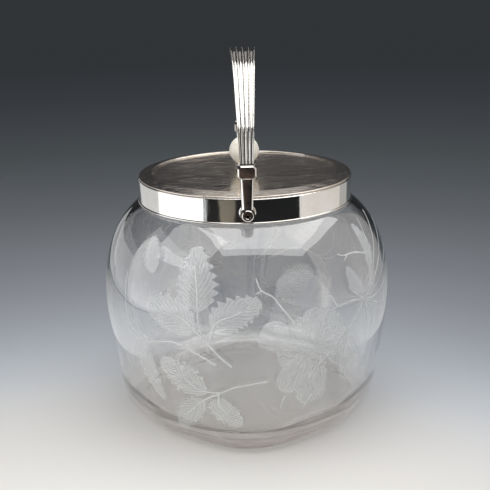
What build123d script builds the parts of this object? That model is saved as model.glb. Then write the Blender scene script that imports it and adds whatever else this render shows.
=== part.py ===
from build123d import *
import math
import os

# Biscuit barrel: a blown glass jar with a silver-plated mount, a lift-off lid and a swing handle.
# Lengths are millimetres. +Z is up, the jar stands on z = 0 round the Z axis, and the two
# handle pivots lie on one line along Y, the front one at -Y.

# Glass jar
BODY_RADIUS = 76.5  # at the four soft ridges, half way up
BELLY_HEIGHT = 60.0  # where the body is widest
NECK_BASE = 115.8  # top of the shoulder
SIDE_DRAFT = 8.0  # how far the side has drawn in when it reaches the table
SIDE_CURVE = 1.45  # power of the side's curve: 1 would be a straight cone
SHOULDER_FULLNESS = 2.7  # powers of the shoulder's curve: 2 and 0.5 would be an ellipse
SHOULDER_FALL = 0.70
HEEL_WIDTH = 7.5
HEEL_HEIGHT = 8.0
NECK_RADIUS = 53.4
NECK_LENGTH = 11.3
NECK_WALL = 3.0
BODY_WALL = 3.6
BASE_THICKNESS = 4.0
INNER_HEEL_WIDTH = 18.0
INNER_HEEL_HEIGHT = 12.0
FOOT_WIDTH = 14.0  # flat foot on a ridge, round the shallow hollow under the base
KICK_HEIGHT = 1.2

# The body is drawn out to a ridge at the front, right, back and left, most strongly at the heel
RIDGE_DEPTH = 6.0
RIDGE_SHARPNESS = 3.0  # 2 would be a plain wave round the body
RIDGE_FADE_HEIGHT = 50.0  # height over which the ridges shrink to a third
CORNER_SWELL = 0.25  # share of the depth that swells out again between two ridges
OUTLINE_POINTS = 32
HEEL_STEPS = 5
SIDE_STEPS = 4
SHOULDER_STEPS = 7

# Silver-plated collar, bedded on the neck
COLLAR_SHEET = 0.8
BED_THICKNESS = 1.8  # plaster between the neck and the collar
COLLAR_OVERLAP = 0.2  # how far the collar's edge comes down past the foot of the neck
COLLAR_BEAD = 0.55  # radius of the rolled bead at its lower edge
COLLAR_ROUND = 0.5  # at its top edge
RIM_BED = 0.3  # plaster between the glass rim and the collar's lip
BED_SETBACK = 0.6  # plaster kept back from the mouth

# Lid
LID_SETBACK = 0.4  # of the lid's edge, in from the collar's outside
LID_EDGE = 0.9
LID_THICKNESS = 1.2
LID_BEVEL_RISE = 1.1
LID_BORDER = 8.1  # from the collar's outside in to the sunk well
LID_LIP_WIDTH = 1.2
LID_LIP_ROUND = 0.15  # how far the lip's crown falls off before it turns down
FLANGE_CLEARANCE = 0.6
FLANGE_SHEET = 0.8
FLANGE_DEPTH = 6.0

# Finial
KNOB_RADIUS = 7.8
KNOB_RISE = 7.0  # widest level up to the crown
KNOB_DROP = 7.2  # widest level down to the seat
KNOB_CHEEK_RADIUS = 6.7  # where the underside starts to draw in
KNOB_CHEEK_HEIGHT = 3.0
KNOB_SEAT_RADIUS = 4.0
SEAT_HEIGHT = 4.2
SEAT_FOOT_RADIUS = 4.6
SEAT_FOOT_EDGE = 0.6
SEAT_WAIST_RADIUS = 2.7
SEAT_WAIST_HEIGHT = 2.3
STUD_RADIUS = 1.5
STUD_GRIP = 8.0  # length of stud inside the knob
NUT_FLATS = 5.5
NUT_THICKNESS = 2.2
WASHER_RADIUS = 4.5
WASHER_THICKNESS = 0.8
STUD_TAIL = 1.0
ASSEMBLY_CLEARANCE = 0.05  # radial, between fixed pieces that slip over one another

# Handle pivots, from the collar outwards
BOSS_RADIUS = 4.0
BOSS_THICKNESS = 1.6
BOSS_EDGE = 0.4
EYE_RADIUS = 3.45
EYE_THICKNESS = 4.6
EYE_SIDE_GAP = 0.15
SCREW_RADIUS = 1.55
SCREW_RUNNING_CLEARANCE = 0.06
SCREW_HEAD_RADIUS = 2.8
SCREW_HEAD_HEIGHT = 1.5
SCREW_HEAD_ROUND = 0.6
SCREW_DISH_RADIUS = 1.6
SCREW_DISH_DEPTH = 0.9
SCREW_STOP = 0.2  # boss left behind the screw's end

# Handle ends
SHANK_BOTTOM_WIDTH = 5.0
SHANK_TOP_WIDTH = 6.4
SHANK_DEPTH = 4.4
SHANK_ROUND = 1.5
KNOP_BASE = 17.2  # above the pivot
KNOP_WIDTH = 8.6
KNOP_HEIGHT = 6.4
KNOP_DEPTH = 6.8
KNOP_CHAMFER = 1.3
CAP_WIDTH = 7.6
CAP_DEPTH = 5.2
CAP_HEIGHT = 0.7

# Reeded bow
BOW_RISE = 45.3  # from its feet to the middle of the strap at the crown
BOW_FOOT_WIDTH = 6.3
BOW_CROWN_WIDTH = 12.6
BOW_THICKNESS = 3.0
FLUTES = 4
FLUTE_LAND = 0.4  # narrow ridge left between two flutes
FLUTE_DEPTH_SHARE = 0.28  # of the flute's width
BOW_SECTIONS = 17


# Sizes that follow from those above
COLLAR_RADIUS = NECK_RADIUS + BED_THICKNESS + COLLAR_SHEET
LID_WELL_RADIUS = COLLAR_RADIUS - LID_BORDER
RIM_HEIGHT = NECK_BASE + NECK_LENGTH
COLLAR_BOTTOM = NECK_BASE - COLLAR_OVERLAP
COLLAR_TOP = RIM_HEIGHT + RIM_BED + COLLAR_SHEET
PIVOT_HEIGHT = (COLLAR_BOTTOM + COLLAR_TOP) / 2
MOUTH_RADIUS = NECK_RADIUS - NECK_WALL
LID_TOP = COLLAR_TOP + LID_THICKNESS
KNOB_SEAT_HEIGHT = LID_TOP + SEAT_HEIGHT
BOSS_FACE = COLLAR_RADIUS + BOSS_THICKNESS
SCREW_END = COLLAR_RADIUS + SCREW_STOP
EYE_BACK = BOSS_FACE + EYE_SIDE_GAP
EYE_FRONT = EYE_BACK + EYE_THICKNESS
LEG_REACH = (EYE_BACK + EYE_FRONT) / 2
BOW_FOOT_HEIGHT = PIVOT_HEIGHT + KNOP_BASE + KNOP_HEIGHT + CAP_HEIGHT


def upright(outline):
    """A closed outline in r and z, turned once round the Z axis."""
    return revolve(Plane.XZ * make_face(outline), Axis.Z, 360)


def disc(radius, bottom, top):
    return Pos(0, 0, bottom) * extrude(Circle(radius), top - bottom)


def ring(inner, outer, bottom, top):
    return Pos(0, 0, bottom) * extrude(Circle(outer) - Circle(inner), top - bottom)


def body_radius(height):
    """Outer radius of the glass on a ridge, at this height."""
    if height > BELLY_HEIGHT:
        climb = (height - BELLY_HEIGHT) / (NECK_BASE - BELLY_HEIGHT)
        fullness = max(0.0, 1 - climb**SHOULDER_FULLNESS) ** SHOULDER_FALL
        return NECK_RADIUS + (BODY_RADIUS - NECK_RADIUS) * fullness
    drop = (BELLY_HEIGHT - height) / BELLY_HEIGHT
    return BODY_RADIUS - SIDE_DRAFT * drop**SIDE_CURVE


def ridge_depth(height):
    """Depth of the hollows between the ridges: deep at the heel, gone at the neck."""
    fade = 3 ** (-height / RIDGE_FADE_HEIGHT)
    to_neck = max(0.0, 1 - (height / NECK_BASE) ** 3)
    return RIDGE_DEPTH * fade * to_neck


def drawn_in(angle):
    """0 on a ridge, near 1 beside it, with a slight swell half way to the next ridge."""
    on_ridge = abs(math.cos(2 * angle)) ** RIDGE_SHARPNESS
    between = math.sin(2 * angle) ** 8
    return 1 - on_ridge - CORNER_SWELL * between


def body_outline(radius, height, depth):
    """One level of the body as a closed smooth curve."""
    points = []
    for step in range(OUTLINE_POINTS):
        angle = 2 * math.pi * step / OUTLINE_POINTS
        reach = radius - depth * drawn_in(angle)
        points.append((reach * math.cos(angle), reach * math.sin(angle), height))
    return Wire([Edge.make_spline(points, periodic=True)])


def body_levels(wall, floor, heel_width, heel_height):
    """Levels up the body, set in by the wall and rounded at the heel over the floor."""
    levels = []
    for step in range(HEEL_STEPS + 1):
        turn = math.pi / 2 * step / HEEL_STEPS
        height = floor + heel_height * (1 - math.cos(turn))
        inset = heel_width * (1 - math.sin(turn))
        levels.append((body_radius(height) - wall - inset, height, ridge_depth(height)))
    heel_top = floor + heel_height
    for step in range(1, SIDE_STEPS + 1):
        height = heel_top + (BELLY_HEIGHT - heel_top) * step / SIDE_STEPS
        levels.append((body_radius(height) - wall, height, ridge_depth(height)))
    for step in range(1, SHOULDER_STEPS + 1):
        share = math.sin(math.pi / 2 * step / SHOULDER_STEPS)
        height = BELLY_HEIGHT + (NECK_BASE - BELLY_HEIGHT) * share
        here = wall + (min(wall, NECK_WALL) - wall) * share**3
        levels.append((body_radius(height) - here, height, ridge_depth(height)))
    return levels


def lofted_body(levels):
    return Solid.make_loft([body_outline(*level) for level in levels])


def with_neck(body, length):
    """The body with its round top carried straight up."""
    return body + extrude(body.faces().sort_by(Axis.Z)[-1], length)


def make_glass_jar():
    """Blown body, rounded heel and straight neck, with the underside ground slightly hollow."""
    outside = lofted_body(body_levels(0, 0, HEEL_WIDTH, HEEL_HEIGHT))
    inside = lofted_body(
        body_levels(BODY_WALL, BASE_THICKNESS, INNER_HEEL_WIDTH, INNER_HEEL_HEIGHT)
    )
    jar = with_neck(outside, NECK_LENGTH) - with_neck(inside, NECK_LENGTH + 1)
    kick_radius = body_radius(0) - HEEL_WIDTH - FOOT_WIDTH
    kick_sphere = (kick_radius**2 + KICK_HEIGHT**2) / (2 * KICK_HEIGHT)
    return jar - Pos(0, 0, KICK_HEIGHT - kick_sphere) * Sphere(kick_sphere)


def make_plaster_bed():
    """Cement that fills the space between the neck, the rim and the collar."""
    wall_inside = COLLAR_RADIUS - COLLAR_SHEET
    bed = ring(NECK_RADIUS + ASSEMBLY_CLEARANCE, wall_inside, NECK_BASE, RIM_HEIGHT)
    return bed + ring(MOUTH_RADIUS + BED_SETBACK, wall_inside, RIM_HEIGHT, RIM_HEIGHT + RIM_BED)


def make_collar():
    """Plain spun band with a lip over the glass rim and a rolled bead at its lower edge."""
    wall_inside = COLLAR_RADIUS - COLLAR_SHEET
    band = ring(wall_inside, COLLAR_RADIUS, COLLAR_BOTTOM, COLLAR_TOP)
    band = fillet(band.edges().group_by(Axis.Z)[-1].sort_by(SortBy.LENGTH)[-1], COLLAR_ROUND)
    lip = ring(MOUTH_RADIUS, wall_inside, COLLAR_TOP - COLLAR_SHEET, COLLAR_TOP)
    bead_level = COLLAR_BOTTOM + COLLAR_BEAD
    bead = Pos(0, 0, bead_level) * Torus(COLLAR_RADIUS, COLLAR_BEAD)
    return band + lip + (bead - disc(wall_inside, 0, COLLAR_TOP))


def make_lid_plate():
    """Rim, a bevel rising to a rounded lip, and a flat sunk well inside it."""
    edge = COLLAR_RADIUS - LID_SETBACK
    lip_height = COLLAR_TOP + LID_EDGE + LID_BEVEL_RISE
    lip_outer = LID_WELL_RADIUS + LID_LIP_WIDTH
    half_edge = LID_EDGE / 2
    with BuildLine() as outline:
        rim = ThreePointArc(
            (edge - half_edge, COLLAR_TOP),
            (edge, COLLAR_TOP + half_edge),
            (edge - half_edge, COLLAR_TOP + LID_EDGE),
        )
        bevel = Line(rim @ 1, (lip_outer, lip_height))
        lip = ThreePointArc(
            bevel @ 1,
            (LID_WELL_RADIUS + LID_LIP_WIDTH / 3, lip_height - LID_LIP_ROUND),
            (LID_WELL_RADIUS, LID_TOP),
        )
        Polyline(lip @ 1, (STUD_RADIUS, LID_TOP), (STUD_RADIUS, COLLAR_TOP), rim @ 0)
    return upright(outline.line)


def make_lid_flange():
    """Locating ring under the lid, which drops into the collar's mouth."""
    outer = MOUTH_RADIUS - FLANGE_CLEARANCE
    flange = ring(outer - FLANGE_SHEET, outer, COLLAR_TOP - FLANGE_DEPTH, COLLAR_TOP)
    lead_in = flange.edges().group_by(Axis.Z)[0].sort_by(SortBy.LENGTH)[-1]
    return chamfer(lead_in, FLANGE_SHEET / 2)


def make_finial_seat():
    """Turned silver foot between the lid and the knob."""
    waist = LID_TOP + SEAT_WAIST_HEIGHT
    foot_top = LID_TOP + SEAT_FOOT_EDGE
    bore = STUD_RADIUS + ASSEMBLY_CLEARANCE
    with BuildLine() as outline:
        foot = Polyline((bore, LID_TOP), (SEAT_FOOT_RADIUS, LID_TOP), (SEAT_FOOT_RADIUS, foot_top))
        side = ThreePointArc(
            foot @ 1, (SEAT_WAIST_RADIUS, waist), (KNOB_SEAT_RADIUS, KNOB_SEAT_HEIGHT)
        )
        Polyline(side @ 1, (bore, KNOB_SEAT_HEIGHT), foot @ 0)
    return upright(outline.line)


def make_finial_knob():
    """Turned knob: domed above its widest level, drawn in to its seat below."""
    widest = KNOB_SEAT_HEIGHT + KNOB_DROP
    crown_radius = (KNOB_RADIUS**2 + KNOB_RISE**2) / (2 * KNOB_RISE)
    crown_centre = widest + KNOB_RISE - crown_radius
    crown_start = math.degrees(math.asin((widest - crown_centre) / crown_radius))
    with BuildLine() as outline:
        crown = CenterArc((0, crown_centre), crown_radius, crown_start, 90 - crown_start)
        belly = Spline(
            (KNOB_RADIUS, widest),
            (KNOB_CHEEK_RADIUS, KNOB_SEAT_HEIGHT + KNOB_CHEEK_HEIGHT),
            (KNOB_SEAT_RADIUS, KNOB_SEAT_HEIGHT),
            tangents=(-(crown % 0), (-1, -1.1)),
        )
        bore = STUD_RADIUS + ASSEMBLY_CLEARANCE
        bore_end = KNOB_SEAT_HEIGHT + STUD_GRIP + ASSEMBLY_CLEARANCE
        Polyline(
            belly @ 1, (bore, KNOB_SEAT_HEIGHT), (bore, bore_end), (0, bore_end), (0, widest + KNOB_RISE)
        )
    return upright(outline.line)


def make_finial_stud():
    bottom = COLLAR_TOP - WASHER_THICKNESS - NUT_THICKNESS - STUD_TAIL
    return disc(STUD_RADIUS, bottom, KNOB_SEAT_HEIGHT + STUD_GRIP)


def make_finial_washer():
    bore = STUD_RADIUS + ASSEMBLY_CLEARANCE
    return ring(bore, WASHER_RADIUS, COLLAR_TOP - WASHER_THICKNESS, COLLAR_TOP)


def make_finial_nut():
    top = COLLAR_TOP - WASHER_THICKNESS
    hexagon = RegularPolygon(NUT_FLATS / 2, 6, major_radius=False)
    blank = hexagon - Circle(STUD_RADIUS + ASSEMBLY_CLEARANCE)
    return Pos(0, 0, top - NUT_THICKNESS) * extrude(blank, NUT_THICKNESS)


def along_y(radius, start, end):
    """Round bar on the pivot line of the front leg, from one distance off the Z axis to another."""
    bar = extrude(Circle(radius), end - start)
    return Pos(0, -start, PIVOT_HEIGHT) * Rot(90, 0, 0) * bar


def make_pivot_boss():
    """Disc soldered to the collar, with its back hollowed to the band's curve."""
    boss = along_y(BOSS_RADIUS, COLLAR_RADIUS - BOSS_THICKNESS, BOSS_FACE)
    boss = chamfer(boss.edges().group_by(Axis.Y)[0], BOSS_EDGE)
    boss -= along_y(SCREW_RADIUS + ASSEMBLY_CLEARANCE, SCREW_END, BOSS_FACE)
    return boss - disc(COLLAR_RADIUS, 0, COLLAR_TOP)


def make_pivot_screw():
    """Shouldered screw with a round-edged head, sunk in the middle."""
    head_back = EYE_FRONT + EYE_SIDE_GAP
    head_front = head_back + SCREW_HEAD_HEIGHT
    shank = along_y(SCREW_RADIUS, SCREW_END, head_back)
    head = along_y(SCREW_HEAD_RADIUS, head_back, head_front)
    head = fillet(head.edges().group_by(Axis.Y)[0], SCREW_HEAD_ROUND)
    dish_sphere = (SCREW_DISH_RADIUS**2 + SCREW_DISH_DEPTH**2) / (2 * SCREW_DISH_DEPTH)
    dish_centre = head_front - SCREW_DISH_DEPTH + dish_sphere
    return shank + head - Pos(0, -dish_centre, PIVOT_HEIGHT) * Sphere(dish_sphere)


def make_handle_end():
    """Cast end: eye, tapered shank, faceted knop and the cap that carries the bow."""
    knop_bottom = PIVOT_HEIGHT + KNOP_BASE
    cap_bottom = knop_bottom + KNOP_HEIGHT
    eye = along_y(EYE_RADIUS, EYE_BACK, EYE_FRONT)
    shank_foot = Pos(0, -LEG_REACH, PIVOT_HEIGHT) * RectangleRounded(
        SHANK_BOTTOM_WIDTH, SHANK_DEPTH, SHANK_ROUND
    )
    shank_head = Pos(0, -LEG_REACH, knop_bottom) * RectangleRounded(
        SHANK_TOP_WIDTH, EYE_THICKNESS, SHANK_ROUND
    )
    shank = loft([shank_foot, shank_head])
    knop = Pos(0, -LEG_REACH, knop_bottom + KNOP_HEIGHT / 2) * Box(KNOP_WIDTH, KNOP_DEPTH, KNOP_HEIGHT)
    knop = chamfer(knop.edges().filter_by(Axis.Y), KNOP_CHAMFER)
    knop = chamfer(knop.faces().filter_by(Axis.Y).edges(), KNOP_CHAMFER / 2)
    cap = Pos(0, -LEG_REACH, cap_bottom + CAP_HEIGHT / 2) * Box(CAP_WIDTH, CAP_DEPTH, CAP_HEIGHT)
    cap = fillet(cap.edges().filter_by(Axis.Z), CAP_HEIGHT)
    bore = along_y(SCREW_RADIUS + SCREW_RUNNING_CLEARANCE, EYE_BACK, EYE_FRONT)
    return eye + shank + knop + cap - bore


def reeded_section(width):
    """Strap section, flat inside, with hollow flutes side by side on its outer face."""
    half = width / 2
    inner = BOW_THICKNESS / 2
    outer = -BOW_THICKNESS / 2
    flute = (width - FLUTE_LAND * (FLUTES + 1)) / FLUTES
    with BuildLine() as outline:
        Polyline((-half + FLUTE_LAND, outer), (-half, outer), (-half, inner), (half, inner), (half, outer))
        Line((half, outer), (half - FLUTE_LAND, outer))
        for place in range(FLUTES):
            start = -half + FLUTE_LAND + place * (flute + FLUTE_LAND)
            floor = outer + FLUTE_DEPTH_SHARE * flute
            ThreePointArc((start, outer), (start + flute / 2, floor), (start + flute, outer))
            if place < FLUTES - 1:
                Line((start + flute, outer), (start + flute + FLUTE_LAND, outer))
    return make_face(outline.line)


def make_handle_bow():
    """Reeded strap that widens as it arches from one handle end to the other."""
    sections = []
    for step in range(BOW_SECTIONS):
        turn = math.pi * step / (BOW_SECTIONS - 1)
        place = (0, -LEG_REACH * math.cos(turn), BOW_FOOT_HEIGHT + BOW_RISE * math.sin(turn))
        heading = (0, LEG_REACH * math.sin(turn), BOW_RISE * math.cos(turn))
        climb = 1 - abs(1 - turn / (math.pi / 2))
        width = BOW_FOOT_WIDTH + (BOW_CROWN_WIDTH - BOW_FOOT_WIDTH) * climb
        sections.append(Plane(place, x_dir=(1, 0, 0), z_dir=heading) * reeded_section(width))
    return loft(sections)


def behind(front_piece):
    """The same piece on the far side of the jar."""
    return Rot(0, 0, 180) * front_piece


def main():
    boss = make_pivot_boss()
    screw = make_pivot_screw()
    handle_end = make_handle_end()
    pieces = {
        "glass_jar": make_glass_jar(),
        "plaster_bed": make_plaster_bed(),
        "collar": make_collar(),
        "front_pivot_boss": boss,
        "rear_pivot_boss": behind(boss),
        "front_pivot_screw": screw,
        "rear_pivot_screw": behind(screw),
        "front_handle_end": handle_end,
        "rear_handle_end": behind(handle_end),
        "handle_bow": make_handle_bow(),
        "lid_plate": make_lid_plate(),
        "lid_flange": make_lid_flange(),
        "finial_seat": make_finial_seat(),
        "finial_knob": make_finial_knob(),
        "finial_stud": make_finial_stud(),
        "finial_washer": make_finial_washer(),
        "finial_nut": make_finial_nut(),
    }
    os.makedirs("parts", exist_ok=True)
    for name, piece in pieces.items():
        export_step(piece, f"parts/{name}.step")


main()
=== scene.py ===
import math

import bmesh
import bpy
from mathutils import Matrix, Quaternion, Vector
from mathutils.bvhtree import BVHTree


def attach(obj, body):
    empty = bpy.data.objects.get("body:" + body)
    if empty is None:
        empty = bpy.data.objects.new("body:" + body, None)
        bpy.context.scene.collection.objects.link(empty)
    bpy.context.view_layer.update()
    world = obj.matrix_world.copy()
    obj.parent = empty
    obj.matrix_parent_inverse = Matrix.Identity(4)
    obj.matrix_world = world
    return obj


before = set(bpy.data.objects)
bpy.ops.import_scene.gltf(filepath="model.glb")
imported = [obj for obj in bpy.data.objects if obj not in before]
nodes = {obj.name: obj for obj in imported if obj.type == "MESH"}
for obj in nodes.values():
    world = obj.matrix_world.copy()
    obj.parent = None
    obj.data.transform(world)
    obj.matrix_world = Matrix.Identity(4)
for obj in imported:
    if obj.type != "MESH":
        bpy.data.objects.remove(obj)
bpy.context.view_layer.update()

# Glass jar: clear blown glass, drawn out to four soft ridges and ground hollow underneath. It
# has the slow waves of a blown wall and a faint warm tint that shows only where it is thick.
# Shadow and diffuse rays go straight through it, weaker where they graze the wall.
GROUND_FOOT_TOP, POLISHED_WALL_FOOT = 0.0013, 0.0018


def wire(node, **settings):
    """Sets a node's inputs and properties by name, and links in the values that are sockets."""
    for key, value in settings.items():
        socket = node.inputs.get(key.replace("_", " "))
        if socket is None:
            setattr(node, key, value)
        elif isinstance(value, bpy.types.NodeSocket):
            node.id_data.links.new(value, socket)
        else:
            socket.default_value = value
    return node


def node_maker(tree):
    """A maker of this tree's nodes, wired as they are made."""
    return lambda kind, **settings: wire(tree.nodes.new(kind), **settings)


def new_material(name):
    """A material, its shader and the maker of its further nodes."""
    material = bpy.data.materials.new(name)
    material.use_nodes = True
    return material, material.node_tree.nodes["Principled BSDF"], node_maker(material.node_tree)


def object_place(add):
    """The point in the object's own metres."""
    return add("ShaderNodeTexCoord").outputs["Object"]


def noise(add, place, scale, detail, **settings):
    """Soft noise with this many patches to the metre."""
    patches = add("ShaderNodeTexNoise", Vector=place, Scale=scale, Detail=detail, **settings)
    return patches.outputs["Fac"]


def bump(add, height, **settings):
    """A normal bent by the slope of a height."""
    return add("ShaderNodeBump", Height=height, **settings).outputs["Normal"]


def spread(add, value, low=0.0, high=1.0, to_low=0.0, to_high=1.0, **settings):
    """Maps a value from one range to another, held at its ends."""
    ends = {"From_Min": low, "From_Max": high, "To_Min": to_low, "To_Max": to_high}
    return add("ShaderNodeMapRange", Value=value, **ends, **settings).outputs["Result"]


def reckon(add, operation, *values):
    """The result of a sum over numbers and sockets."""
    step = add("ShaderNodeMath", operation=operation)
    for socket, value in zip(step.inputs, values):
        if isinstance(value, bpy.types.NodeSocket):
            step.id_data.links.new(value, socket)
        else:
            socket.default_value = value
    return step.outputs[0]


def any_ray(add, first, *others):
    """One for a ray of any of these kinds, nought for the rest."""
    path = add("ShaderNodeLightPath")
    found = path.outputs[first]
    for kind in others:
        found = reckon(add, "MAXIMUM", found, path.outputs[kind])
    return found


def mix_shaders(add, share, first, second):
    """The first shader, given over to the second by a share."""
    mixed = add("ShaderNodeMixShader", Fac=share)
    for socket, value in zip(mixed.inputs[1:], (first, second)):
        mixed.id_data.links.new(value, socket)
    return mixed.outputs["Shader"]


def finish_node(name, material):
    """Gives a carried-over solid its finish."""
    for slot in nodes[name].material_slots:
        slot.material = material


glass, shader, add = new_material("blown_clear_glass")
place = object_place(add)
worn = spread(add, noise(add, place, 240.0, 4.0), 0.45, 0.8, 0.004, 0.05)
level = add("ShaderNodeSeparateXYZ", Vector=place).outputs["Z"]
ground = spread(add, level, GROUND_FOOT_TOP, POLISHED_WALL_FOOT, 0.6, 0.0)
wire(
    shader,
    Base_Color=(0.985, 0.988, 0.985, 1),
    Transmission_Weight=1.0,
    IOR=1.53,
    Roughness=reckon(add, "MAXIMUM", worn, ground),
    Normal=bump(add, noise(add, place, 26.0, 1.0), Strength=0.35, Distance=0.0006),
    Coat_Weight=1.0,
    Coat_IOR=1.7,
    Coat_Roughness=0.01,
)
tint = add("ShaderNodeVolumeAbsorption", Color=(0.98, 0.90, 0.86, 1), Density=20.0)
grazing = add("ShaderNodeLayerWeight", Blend=0.5).outputs["Facing"]
let_past = add("ShaderNodeBsdfTransparent", Color=spread(add, grazing, 0.35, 1.0, 0.965, 0.5))
unbent = any_ray(add, "Is Shadow Ray", "Is Diffuse Ray")
wire(
    glass.node_tree.nodes["Material Output"],
    Surface=mix_shaders(add, unbent, shader.outputs["BSDF"], let_past.outputs["BSDF"]),
    Volume=tint.outputs["Volume"],
)
finish_node("glass_jar", glass)

# Etched sprays: bramble leaves, a wild rose and their stems, ground by wheel into the outside of
# the glass. Leaves and petals stay matt, and the deeper stems and veins are brighter. Places are
# a bearing in degrees from the front and a height in mm, and widths are in mm.
MM_PER_DEGREE = 1.25
LEAF_LIFT, PETAL_LIFT, STEM_LIFT = 0.045, 0.055, 0.075
TEETH, TOOTH_DEPTH = 8, 0.34
CUT_THICKNESS = 0.00003
CLEAR_OF_JAR = 0.12
SHORT_WAY = 0.02
HALF_TURN = 180
LEAVES = (
    ((-18.9, 78), (-19.6, 90), (-21.8, 107), 11.0),
    ((-20.0, 68), (-30.0, 75), (-41.5, 78), 11.0),
    ((-13.6, 69), (-7.0, 77), (4.0, 84), 9.3),
    ((-17.0, 35), (-26.0, 42), (-36.0, 50), 10.0),
    ((-18.5, 31), (-26.0, 22), (-32.0, 11), 7.5),
    ((-12.2, 34), (-11.0, 27), (-4.0, 18), 8.0),
    ((-43.0, 54), (-43.5, 42), (-38.0, 25), 7.0),
    ((-39.0, 93), (-42.0, 100), (-45.0, 108), 6.0),
    ((55.5, 88), (57.5, 98), (55.0, 109), 5.5),
    ((49.0, 76), (44.0, 84), (41.0, 93), 4.5),
)
PETALS = (
    ((17, 61), (3.5, 70), 7.5),
    ((21.5, 62), (15.5, 73.5), 5.0),
    ((23, 61), (24.5, 78), 6.8),
    ((24.5, 60), (33.5, 74), 6.8),
    ((23, 60), (39.5, 58), 8.0),
    ((38, 62), (44, 33), 7.0),
    ((23.5, 58), (24, 26), 9.0),
    ((22, 58), (12, 36), 7.5),
    ((23, 60), (9.5, 54), 7.5),
)
SPRAY_FORK, TENDRIL_FORK = (-15.3, 62.9), (49.1, 74.1)
STEMS = (
    (
        ((-21.2, 99), (-19.5, 87.5), (-18.9, 74.4), (-17.5, 67), SPRAY_FORK, (-11.6, 57), (-6.9, 51.6)),
        0.25, 0.6,
    ),
    (((-33.2, 74.4), (-29, 74.8), (-24.6, 73.4), (-19.8, 68), SPRAY_FORK), 0.2, 0.5),
    (((-3, 79.5), (-6.1, 77.4), (-11.5, 74.3), (-13.9, 69.1), (-14.8, 63.5)), 0.2, 0.5),
    (((6, 43), (3.4, 42.9), (-5.7, 40.4), (-12.5, 35.8), (-19.2, 30.4), (-27, 20.5)), 0.55, 0.25),
    (((-11.5, 36.6), (-20, 36.8), (-27, 43)), 0.4, 0.2),
    (((-12.3, 36), (-12.4, 29), (-8.5, 23.5)), 0.45, 0.2),
    (
        ((-54.2, 90), (-54.4, 78.9), (-52.8, 66.4), (-47.7, 60.3),
         (-41.3, 57.8), (-30.3, 60.8), (-23, 58.8), (-12.7, 52.1)),
        0.25, 0.6,
    ),
    (((-49, 76), (-48.5, 68), (-44.5, 61.5), (-38, 58.5)), 0.2, 0.35),
    (((-36, 59.5), (-42.5, 55), (-43.5, 42), (-41, 34)), 0.35, 0.2),
    (((22, 40), (25.6, 47.4), (33.8, 55.6), (43.9, 67.8), TENDRIL_FORK), 0.3, 0.7),
    (((28.8, 82.3), (31.5, 81.5), (34.4, 76), (42, 76.2), TENDRIL_FORK), 0.25, 0.55),
    (((34.9, 75.8), (30.5, 74.5)), 0.35, 0.2),
    (((40.1, 83.4), (44, 79), TENDRIL_FORK), 0.2, 0.5),
    ((TENDRIL_FORK, (58, 73), (70, 76)), 0.6, 0.25),
    (((49.5, 74.1), (60, 68), (68, 66.8)), 0.6, 0.25),
    (((49.5, 74.1), (53.5, 68), (56, 57.5)), 0.55, 0.2),
    ((TENDRIL_FORK, (51.0, 66), (51.5, 62)), 0.4, 0.2),
    (((49.5, 74.1), (55, 83), (63, 94), (71, 104), (78, 110)), 0.5, 0.3),
    (((50.5, 74.6), (58, 82), (68, 91), (77, 99), (86, 104)), 0.5, 0.3),
    (((49.8, 74.1), (53, 81), (57.5, 92), (60, 102), (63, 110)), 0.45, 0.25),
    (((52, 74.6), (62, 79), (73, 86), (84, 91)), 0.4, 0.2),
    (((37.9, 99.5), (41, 98.2), (47.6, 97.9), (55, 95)), 0.2, 0.5),
    (((43, 98.2), (40.5, 96)), 0.35, 0.15),
    (((2.4, 94.5), (4.1, 89.1), (8.3, 85.6), (11.1, 80.7), (16.4, 71)), 0.25, 0.45),
    (((4.3, 88.8), (1.8, 87.2)), 0.3, 0.15),
    (((13.1, 34.5), (11.8, 31), (10.9, 26.5)), 0.35, 0.15),
    (((24.5, 31), (22.0, 27), (21, 23)), 0.35, 0.15),
    (((30.5, 31), (29.5, 27), (29.5, 24)), 0.35, 0.15),
)
jar_mesh = nodes["glass_jar"].data
wall = BVHTree.FromPolygons([v.co for v in jar_mesh.vertices], [p.vertices for p in jar_mesh.polygons])


def on_glass(bearing, height, lift):
    """The point on the outside of the glass there, lifted off it by so many millimetres."""
    turn = math.radians(bearing)
    outward = Vector((math.sin(turn), -math.cos(turn), 0))
    touch, normal, _, _ = wall.ray_cast(outward * CLEAR_OF_JAR + Vector((0, 0, height / 1000)), -outward)
    return touch + normal * lift / 1000


def line_through(points, share):
    """The place a share of the way along a smooth line through the points."""
    spans = len(points) - 1
    span = min(int(share * spans), spans - 1)
    t = share * spans - span
    before, start, end, after = (Vector(points[min(max(span + k, 0), spans)]) for k in (-1, 0, 1, 2))
    bend = (2 * before - 5 * start + 4 * end - after) * t * t + (3 * (start - end) + after - before) * t**3
    return start + ((end - before) * t + bend) / 2


def etch(work, points, half_width, lift, steps, rows=2, sweep=0.0):
    """One ground mark along a line. half_width is in mm, from its share along and its side."""
    marks = bmesh.ops.create_grid(work, x_segments=steps, y_segments=rows, size=0.5, calc_uvs=True)
    flat = [(bearing * MM_PER_DEGREE, height) for bearing, height in points]
    for vert in marks["verts"]:
        share, side = vert.co.x + 0.5, vert.co.y * 2
        centre = line_through(flat, share)
        behind, beyond = max(share - SHORT_WAY, 0.0), min(share + SHORT_WAY, 1.0)
        ahead = (line_through(flat, beyond) - line_through(flat, behind)).normalized()
        reach = half_width(share, side)
        across = Vector((-ahead.y, ahead.x)) * side * reach
        spot = centre + across + ahead * abs(side) * reach * sweep
        vert.co = on_glass(spot.x / MM_PER_DEGREE, spot.y, lift)


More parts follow.
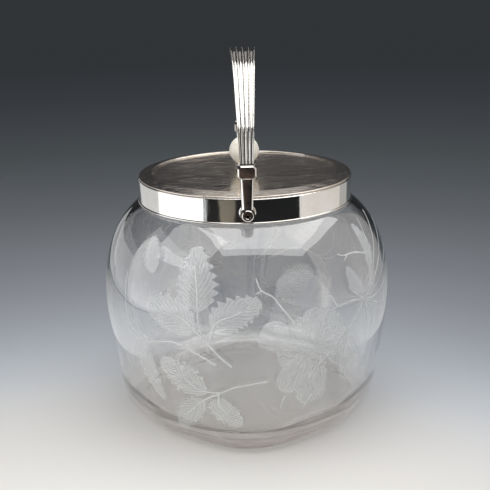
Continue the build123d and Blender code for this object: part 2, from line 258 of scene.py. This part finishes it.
def leaf_width(half):
    """Egg-shaped blade with forward teeth along both edges."""

    def reach(share, side):
        blade = max(0.0, math.sin(math.pi * share**0.72)) ** 0.72
        tooth = (share * TEETH) % 1.0
        return half * blade * (1 - TOOTH_DEPTH * tooth * abs(side) ** 3)

    return reach


def petal_width(half):
    """Round petal, broadest past its middle."""
    return lambda share, side: half * max(0.0, math.sin(math.pi * share**1.5)) ** 0.55


def stem_width(start, end):
    """Plain tapering stroke."""
    return lambda share, side: start + (end - start) * share


def new_piece(name, work, material):
    """An object made of the worked mesh, in one material."""
    mesh = bpy.data.meshes.new(name)
    work.to_mesh(mesh)
    work.free()
    mesh.materials.append(material)
    piece = bpy.data.objects.new(name, mesh)
    bpy.context.collection.objects.link(piece)
    return piece


def etched_piece(name, work, material):
    """The worked marks as a thin layer that rides on the jar."""
    bmesh.ops.recalc_face_normals(work, faces=work.faces)
    piece = new_piece(name, work, material)
    piece.data.shade_smooth()
    shell = piece.modifiers.new("cut", "SOLIDIFY")
    shell.thickness = CUT_THICKNESS
    shell.offset = 1.0
    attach(piece, "jar")


def ground_glass(name, matt, vein, along=0.0, across=0.0, slant=0.0, roughness=0.7):
    """Ground glass: how far the matt ground and the lines cut in it hide what is behind.

    So many lines cross the mark along and across its length, and slant from its middle.
    """
    material, shader, add = new_material(name)
    uv = add("ShaderNodeSeparateXYZ", Vector=add("ShaderNodeTexCoord").outputs["UV"])
    side = reckon(add, "ABSOLUTE", reckon(add, "SUBTRACT", uv.outputs["Y"], 0.5))
    cross_turns = reckon(add, "MULTIPLY", uv.outputs["Y"], across)
    turns = reckon(add, "MULTIPLY_ADD", uv.outputs["X"], along, cross_turns)
    angle = reckon(add, "MULTIPLY", reckon(add, "MULTIPLY_ADD", side, slant, turns), math.tau)
    ripple = reckon(add, "SINE", reckon(add, "MULTIPLY", angle, 3.0))
    strokes = reckon(add, "MULTIPLY_ADD", ripple, 0.12, reckon(add, "SINE", angle))
    cut = spread(add, strokes, 0.5, 1.05, matt, matt + vein)
    patchy = spread(add, noise(add, object_place(add), 140.0, 3.0), 0.3, 0.7, 0.88, 1.1)
    cover = reckon(add, "MULTIPLY", cut, patchy)
    wire(shader, Base_Color=(0.88, 0.89, 0.88, 1), Roughness=roughness, Alpha=cover)
    return material


leaf_work, petal_work, stem_work = bmesh.new(), bmesh.new(), bmesh.new()
for work in (leaf_work, petal_work, stem_work):
    work.loops.layers.uv.verify()
for turned in (0, HALF_TURN):
    for *blade, half in LEAVES:
        points = [(bearing + turned, height) for bearing, height in blade]
        etch(leaf_work, points, leaf_width(half), LEAF_LIFT, steps=96, rows=10, sweep=0.4)
    for *rib, half in PETALS:
        points = [(bearing + turned, height) for bearing, height in rib]
        etch(petal_work, points, petal_width(half), PETAL_LIFT, steps=20, rows=10)
    for stroke, start, end in STEMS:
        points = [(bearing + turned, height) for bearing, height in stroke]
        etch(stem_work, points, stem_width(start, end), STEM_LIFT, steps=10 * len(stroke))
matt_leaf = ground_glass("ground_leaf", matt=0.20, vein=0.13, along=11.0, slant=-6.0)
matt_petal = ground_glass("ground_petal", matt=0.24, vein=0.05, across=7.0)
bright_cut = ground_glass("polished_cut", matt=0.52, vein=0.15, along=3.0, roughness=0.3)
etched_piece("etched_leaves", leaf_work, matt_leaf)
etched_piece("etched_petals", petal_work, matt_petal)
etched_piece("etched_stems", stem_work, bright_cut)

# Plaster bed: the grey-white cement between the neck and the mount, seen only as a line under
# the collar's edge. It is gritty and matt.


def ramp(add, share, stops):
    """The colour at a share of the way along these stops, each a place and a colour."""
    blend = add("ShaderNodeValToRGB", Fac=share)
    ends = blend.color_ramp.elements
    for end, (position, colour) in zip(ends, (stops[0], stops[-1])):
        end.position, end.color = position, (*colour, 1)
    for position, colour in stops[1:-1]:
        ends.new(position).color = (*colour, 1)
    return blend.outputs["Color"]


plaster, shader, add = new_material("mount_plaster")
grit = noise(add, object_place(add), 900.0, 5.0)
wire(
    shader,
    Base_Color=ramp(add, grit, ((0.0, (0.42, 0.39, 0.34)), (1.0, (0.74, 0.72, 0.66)))),
    Roughness=0.9,
    Normal=bump(add, grit, Strength=0.6, Distance=0.0001),
)
finish_node("plaster_bed", plaster)

# Collar, pivot bosses and screws: silver plate over a spun and cast base. Years of rubbing
# leave it bright, a little uneven, and finely scratched. The dish in each screw's head is
# coloured dark.
SILVER, SCREW_DISH_DARK = (0.93, 0.915, 0.885), (0.05, 0.035, 0.025, 1)
PIVOT_HEIGHT = 0.1219
DISH_RIM, DISH_FLOOR = 0.00145, 0.0012


def silver_plate(name, colour, dents, scratches, roughness, relief=None, dark_dish=None, fine=2400.0):
    """Silver plate with shallow dents, scratches and a range of roughness.

    Relief raises worn matt ridges, a dish may be coloured dark, and fine is scratches to the metre.
    """
    metal, shader, add = new_material(name)
    place = object_place(add)
    yellowed = tuple(c * s for c, s in zip(colour, (0.94, 0.91, 0.86)))
    plate = ramp(add, noise(add, place, 70.0, 6.0, Roughness=0.6), ((0.3, yellowed), (0.6, colour)))
    rubbed = spread(add, noise(add, place, 420.0, 5.0, Roughness=0.65), 0.4, 0.75, *roughness)
    normal = bump(add, noise(add, place, 45.0, 1.0), Strength=dents, Distance=0.0002)
    if relief:
        ridge = relief(add, place)
        rubbed = reckon(add, "MAXIMUM", rubbed, spread(add, ridge, to_high=0.32))
        normal = bump(add, ridge, Distance=0.00012, Normal=normal)
    # Colours the dish in a screw's head dark.
    if dark_dish:
        darkened_dish = add("ShaderNodeMixRGB", Fac=dark_dish(add, place), Color1=plate, Color2=SCREW_DISH_DARK)
        plate = darkened_dish.outputs["Color"]
    for turn in (0.35, 1.6, 2.5):
        lie = add("ShaderNodeMapping", Vector=place, Rotation=(0.3, 0.2, turn), Scale=(80.0, fine, 80.0))
        lines = spread(add, noise(add, lie.outputs["Vector"], 1.0, 1.0), 0.62, 0.68)
        normal = bump(add, lines, Strength=scratches, Distance=0.00002, Normal=normal, invert=True)
    wire(shader, Metallic=1.0, Base_Color=plate, Roughness=rubbed, Normal=normal)
    return metal


def sunk_dish(add, place):
    """Where the dish in a screw's head is coloured dark."""
    spot = add("ShaderNodeSeparateXYZ", Vector=place)
    rise = reckon(add, "SUBTRACT", spot.outputs["Z"], PIVOT_HEIGHT)
    off_axis = add("ShaderNodeCombineXYZ", X=spot.outputs["X"], Y=rise)
    away = add("ShaderNodeVectorMath", operation="LENGTH", Vector=off_axis.outputs["Vector"])
    return spread(add, away.outputs["Value"], DISH_RIM, DISH_FLOOR)


mount_silver = silver_plate("polished_silver_plate", SILVER, 0.5, 0.12, (0.03, 0.11))
for name in ("collar", "front_pivot_boss", "rear_pivot_boss"):
    finish_node(name, mount_silver)
screw_silver = silver_plate("screw_silver_plate", SILVER, 0.3, 0.1, (0.05, 0.13), dark_dish=sunk_dish)
for name in ("front_pivot_screw", "rear_pivot_screw"):
    finish_node(name, screw_silver)

# Handle: a cast and chased reeded bow soldered on two cast ends, silver plated like the mount.
# The plate on the worn ridges between the bow's flutes has gone matt.
BOW_FOOT_HEIGHT, BOW_CROWN_HEIGHT = 0.1462, 0.1915
BOW_FOOT_WIDTH, BOW_CROWN_WIDTH = 0.0063, 0.0126
FLUTES = 4.0


def rounded_ridges(add, place):
    """Height of the rounded ridges between the bow's flutes, which widen up the bow."""
    spot = add("ShaderNodeSeparateXYZ", Vector=place)
    turn = reckon(add, "ARCSINE", spread(add, spot.outputs["Z"], BOW_FOOT_HEIGHT, BOW_CROWN_HEIGHT))
    widening = (BOW_CROWN_WIDTH - BOW_FOOT_WIDTH) / (math.pi / 2)
    width = reckon(add, "ADD", reckon(add, "MULTIPLY", turn, widening), BOW_FOOT_WIDTH)
    across = reckon(add, "ADD", reckon(add, "DIVIDE", spot.outputs["X"], width), 0.5)
    from_ridge = reckon(add, "PINGPONG", reckon(add, "MULTIPLY", across, FLUTES), 0.5)
    return spread(add, from_ridge, 0.0, 0.13, 1.0, 0.0, interpolation_type="SMOOTHSTEP")


for name in ("front_handle_end", "rear_handle_end"):
    finish_node(name, mount_silver)
reeded_silver = silver_plate("reeded_silver_plate", SILVER, 0.5, 0.1, (0.05, 0.13), rounded_ridges)
finish_node("handle_bow", reeded_silver)

# Lid: a spun silver-plated plate with a sunk well, dulled by fine scratches, the plain ring
# under it that drops into the mouth, and the turned foot under the knob.
WORN_SILVER = (0.87, 0.81, 0.745)
lid_silver = silver_plate("scratched_silver_plate", WORN_SILVER, 0.25, 0.7, (0.12, 0.28), fine=3600.0)
for name in ("lid_plate", "lid_flange", "finial_seat"):
    finish_node(name, lid_silver)

# Finial knob: turned bone, cream, with a fine lengthways grain and a waxy polish. Light sinks
# a little way into it.
bone, shader, add = new_material("turned_bone")
upright = add("ShaderNodeMapping", Vector=object_place(add), Scale=(900.0, 900.0, 110.0))
grain = noise(add, upright.outputs["Vector"], 1.0, 5.0)
wire(
    shader,
    Base_Color=ramp(add, grain, ((0.3, (0.76, 0.69, 0.57)), (0.6, (0.90, 0.86, 0.77)))),
    Roughness=0.42,
    Subsurface_Weight=0.15,
    Subsurface_Radius=(0.003, 0.002, 0.001),
    Normal=bump(add, grain, Strength=0.25, Distance=0.00005),
)
finish_node("finial_knob", bone)

# Stud, washer and nut: turned and stamped brass that holds the knob on from under the lid,
# gone brown with age.
brass, shader, add = new_material("aged_brass")
stain = noise(add, object_place(add), 500.0, 5.0)
wire(
    shader,
    Metallic=1.0,
    Base_Color=ramp(add, stain, ((0.35, (0.34, 0.22, 0.10)), (0.6, (0.76, 0.55, 0.26)))),
    Roughness=spread(add, stain, to_low=0.45, to_high=0.2),
)
for name in ("finial_stud", "finial_washer", "finial_nut"):
    finish_node(name, brass)

# Table and backdrop: one pale matt sheet, its colour a painted pool of light: white in front and
# graded to dark grey behind and all round, as the light falls off. Past the lit patch that painted
# tone glows as written, and adds no light to the object.
TABLE_LEVEL, TABLE_RADIUS = -0.00005, 9.0
# The middle of the painted pool of light.
PAINTED_POOL_MIDDLE = (-0.055, -0.25, 0)
FIRST_TONE, LAST_TONE = 0.1, 2.1
LIT_TO, SHOWN_FROM = 0.27, 0.42
SEEN_RAYS = ("Is Camera Ray", "Is Glossy Ray", "Is Transmission Ray")
# The painted falloff of light: the sheet's tone by distance in metres from that middle.
PAINTED_FALLOFF_TONES = (
    (0.15, (0.80, 0.77, 0.73)),
    (0.20, (0.71, 0.68, 0.645)),
    (0.225, (0.665, 0.64, 0.615)),
    (0.257, (0.595, 0.587, 0.58)),
    (0.29, (0.495, 0.51, 0.53)),
    (0.336, (0.377, 0.398, 0.428)),
    (0.38, (0.302, 0.318, 0.348)),
    (0.43, (0.242, 0.256, 0.282)),
    (0.50, (0.188, 0.20, 0.222)),
    (0.58, (0.146, 0.157, 0.17)),
    (0.67, (0.111, 0.121, 0.131)),
    (0.80, (0.083, 0.092, 0.10)),
    (0.97, (0.062, 0.07, 0.076)),
    (1.20, (0.048, 0.054, 0.06)),
    (1.50, (0.037, 0.042, 0.047)),
    (2.10, (0.030, 0.033, 0.037)),
)
sheet = bmesh.new()
bmesh.ops.create_circle(sheet, cap_ends=True, segments=96, radius=TABLE_RADIUS)
bmesh.ops.translate(sheet, verts=sheet.verts, vec=(0, 0, TABLE_LEVEL))
paper, shader, add = new_material("paper_with_painted_falloff")
to_spot = tuple(-value for value in PAINTED_POOL_MIDDLE)
from_spot = add("ShaderNodeMapping", Vector=object_place(add), Location=to_spot).outputs["Vector"]
reach = add("ShaderNodeVectorMath", operation="LENGTH", Vector=from_spot).outputs["Value"]
stops = [((metres - FIRST_TONE) / (LAST_TONE - FIRST_TONE), tone) for metres, tone in PAINTED_FALLOFF_TONES]
# Painted pool of light: the tone falls with distance from its middle.
falloff_tones = ramp(add, spread(add, reach, FIRST_TONE, LAST_TONE), stops)
shown = spread(add, reach, LIT_TO, SHOWN_FROM, interpolation_type="SMOOTHSTEP")
lit_part = add("ShaderNodeMixRGB", Fac=shown, Color1=falloff_tones, Color2=(0, 0, 0, 1))
wire(
    shader,
    Base_Color=lit_part.outputs["Color"],
    # Past the lit patch the painted tone glows for camera, glossy and transmission rays.
    Emission_Color=falloff_tones,
    Emission_Strength=reckon(add, "MULTIPLY", any_ray(add, *SEEN_RAYS), shown),
    Roughness=0.95,
    Specular_IOR_Level=0.1,
)
new_piece("table_top", sheet, paper)

# Studio light: a large soft box overhead, a soft lamp high on the left, white panels on the left,
# cream ones on the right and a small one high behind for the handle's crown. Flat cards on the
# table give the silver its dark and pale zones, and the room is dim.
DIM_ROOM, SKY_FILL, SKY_STRENGTH = (0.036, 0.036, 0.039, 1), (0.9, 0.95, 1.0, 1), 0.42
WHITE, CREAM, WARM = (1, 1, 1), (1, 0.935, 0.87), (1, 0.97, 0.93)
CARD_LEVEL = 0.001
DARK_MIDDLE, DARK_SPAN = 7.5, 94
DARK_REACH, DARK_DEPTH = 0.65, 0.7
CLUTTER = (
    (0.0, (0.17, 0.17, 0.155)),
    (0.08, (0.012, 0.012, 0.013)),
    (0.27, (0.015, 0.014, 0.013)),
    (0.34, (0.24, 0.21, 0.165)),
    (0.60, (0.20, 0.17, 0.13)),
    (0.67, (0.012, 0.011, 0.010)),
    (0.83, (0.012, 0.009, 0.008)),
    (0.855, (0.15, 0.085, 0.065)),
    (0.88, (0.10, 0.06, 0.045)),
    (0.90, (0.008, 0.008, 0.009)),
    (1.0, (0.006, 0.007, 0.009)),
)


def soft_box(name, place, facing, wide, tall, colour, radiance, *unseen_by):
    """A rectangular lamp, unseen by the camera and by the other kinds of ray named."""
    lamp = bpy.data.lights.new(name, "AREA")
    lamp.shape = "RECTANGLE"
    lamp.size, lamp.size_y = wide, tall
    lamp.color = colour
    lamp.energy = radiance * math.pi * wide * tall
    holder = bpy.data.objects.new(name, lamp)
    holder.location = place
    holder.rotation_mode = "QUATERNION"
    holder.rotation_quaternion = Vector(facing).to_track_quat("-Z", "Y")
    for ray in ("camera", *unseen_by):
        setattr(holder, f"visible_{ray}", False)
    bpy.context.collection.objects.link(holder)


def table_card(name, span, place, colour):
    """A flat card on the table, seen only in the silver and the glass.

    The maker of its nodes goes to colour, which gives its tone.
    """
    card = bmesh.new()
    bmesh.ops.create_grid(card, x_segments=span, y_segments=1, size=0.5)
    for vert in card.verts:
        vert.co = (*place(vert.co.x, vert.co.y), CARD_LEVEL)
    matt, shader, add = new_material(name)
    wire(shader, Base_Color=colour(add), Roughness=1.0)
    piece = new_piece(name, card, matt)
    for ray in ("camera", "diffuse", "transmission", "shadow"):
        setattr(piece, f"visible_{ray}", False)


def dark_place(along, out):
    """From 39.5 degrees left to 54.5 degrees right of the front, 0.3 to 1 m away."""
    turn = math.radians(DARK_MIDDLE + DARK_SPAN * along)
    reach = DARK_REACH + DARK_DEPTH * out
    return reach * math.sin(turn), -reach * math.cos(turn)


def clutter(add):
    """Dark, with the blurred beige and brown of things lying there, by their bearing."""
    place = object_place(add)
    spot = add("ShaderNodeSeparateXYZ", Vector=place)
    nearer = reckon(add, "MULTIPLY", spot.outputs["Y"], -1.0)
    sideways = reckon(add, "ARCTAN2", spot.outputs["X"], nearer)
    waver = spread(add, noise(add, place, 9.0, 3.0), to_low=-0.12, to_high=0.12)
    return ramp(add, spread(add, reckon(add, "ADD", sideways, waver), -0.7, 0.1), CLUTTER)


def white_card(name, middle, bright):
    """A white card beside the jar, fading away from the camera."""

    def fade(add):
        away = add("ShaderNodeSeparateXYZ", Vector=object_place(add)).outputs["Y"]
        return spread(add, away, 0.0, 0.24, bright, 0.25)

    table_card(name, 1, lambda x, y: (middle + 0.15 * x, 0.05 + 0.38 * y), fade)


soft_box("overhead_box", (0.13, -0.06, 0.45), (0, 0.0001, -1), 0.58, 0.62, WHITE, 1.8)
soft_box("high_left_lamp", (-0.42, -0.25, 0.46), (0.42, 0.25, -0.36), 0.5, 0.5, WHITE, 1.9, "glossy")
for name, place, wide, tall, facing, colour, radiance in (
    ("left_panel", (-0.28, -0.1375, 0.137), 0.335, 0.27, 1, WHITE, 1.1),
    ("left_far_panel", (-0.28, 0.315, 0.067), 0.57, 0.13, 1, WHITE, 0.5),
    ("right_panel", (0.28, -0.055, 0.287), 0.31, 0.57, -1, CREAM, 0.55),
    ("right_far_panel", (0.28, 0.17, 0.287), 0.14, 0.57, -1, (1, 0.95, 0.9), 0.3),
):
    soft_box(name, place, (facing, 0, 0), wide, tall, colour, radiance, "diffuse")
crown_place, crown_facing = (0.02, 0.5, 0.55), (0, -1, -0.5)
soft_box("crown_panel", crown_place, crown_facing, 0.24, 0.36, WARM, 0.3, "diffuse", "transmission")
table_card("dark_table_end", 24, dark_place, clutter)
white_card("left_card", -0.195, 0.95)
white_card("right_card", 0.205, 0.8)

room = bpy.data.worlds.new("room")
bpy.context.scene.world = room
room.use_nodes = True
add = node_maker(room.node_tree)
dim = wire(room.node_tree.nodes["Background"], Color=DIM_ROOM)
fill = add("ShaderNodeBackground", Color=SKY_FILL, Strength=SKY_STRENGTH)
seen = any_ray(add, *SEEN_RAYS)
room_light = mix_shaders(add, seen, fill.outputs["Background"], dim.outputs["Background"])
wire(room.node_tree.nodes["World Output"], Surface=room_light)

# Camera, at the photograph's place: a little over the lid and looking down at it. Many bounces
# carry its rays through the glass and the marks on it.
CAMERA_PLACE = (-0.00785, -0.44993, 0.2301)
PITCH, BEARING, LEAN = math.radians(17.52), math.radians(0.93), math.radians(-1.15)
BOUNCES, CLEAR_BOUNCES = 40, 24
lens = bpy.data.cameras.new("camera")
lens.sensor_width = 36.0
lens.lens = 63.92
lens.clip_start, lens.clip_end = 0.01, 50.0
camera = bpy.data.objects.new("camera", lens)
bpy.context.collection.objects.link(camera)
level = math.cos(PITCH)
heading = Vector((math.sin(BEARING) * level, math.cos(BEARING) * level, -math.sin(PITCH)))
camera.location = CAMERA_PLACE
camera.rotation_mode = "QUATERNION"
camera.rotation_quaternion = heading.to_track_quat("-Z", "Y") @ Quaternion((0, 0, 1), LEAN)
scene = bpy.context.scene
scene.camera = camera
scene.view_settings.view_transform = "Standard"
scene.cycles.max_bounces = scene.cycles.transmission_bounces = BOUNCES
scene.cycles.transparent_max_bounces = CLEAR_BOUNCES
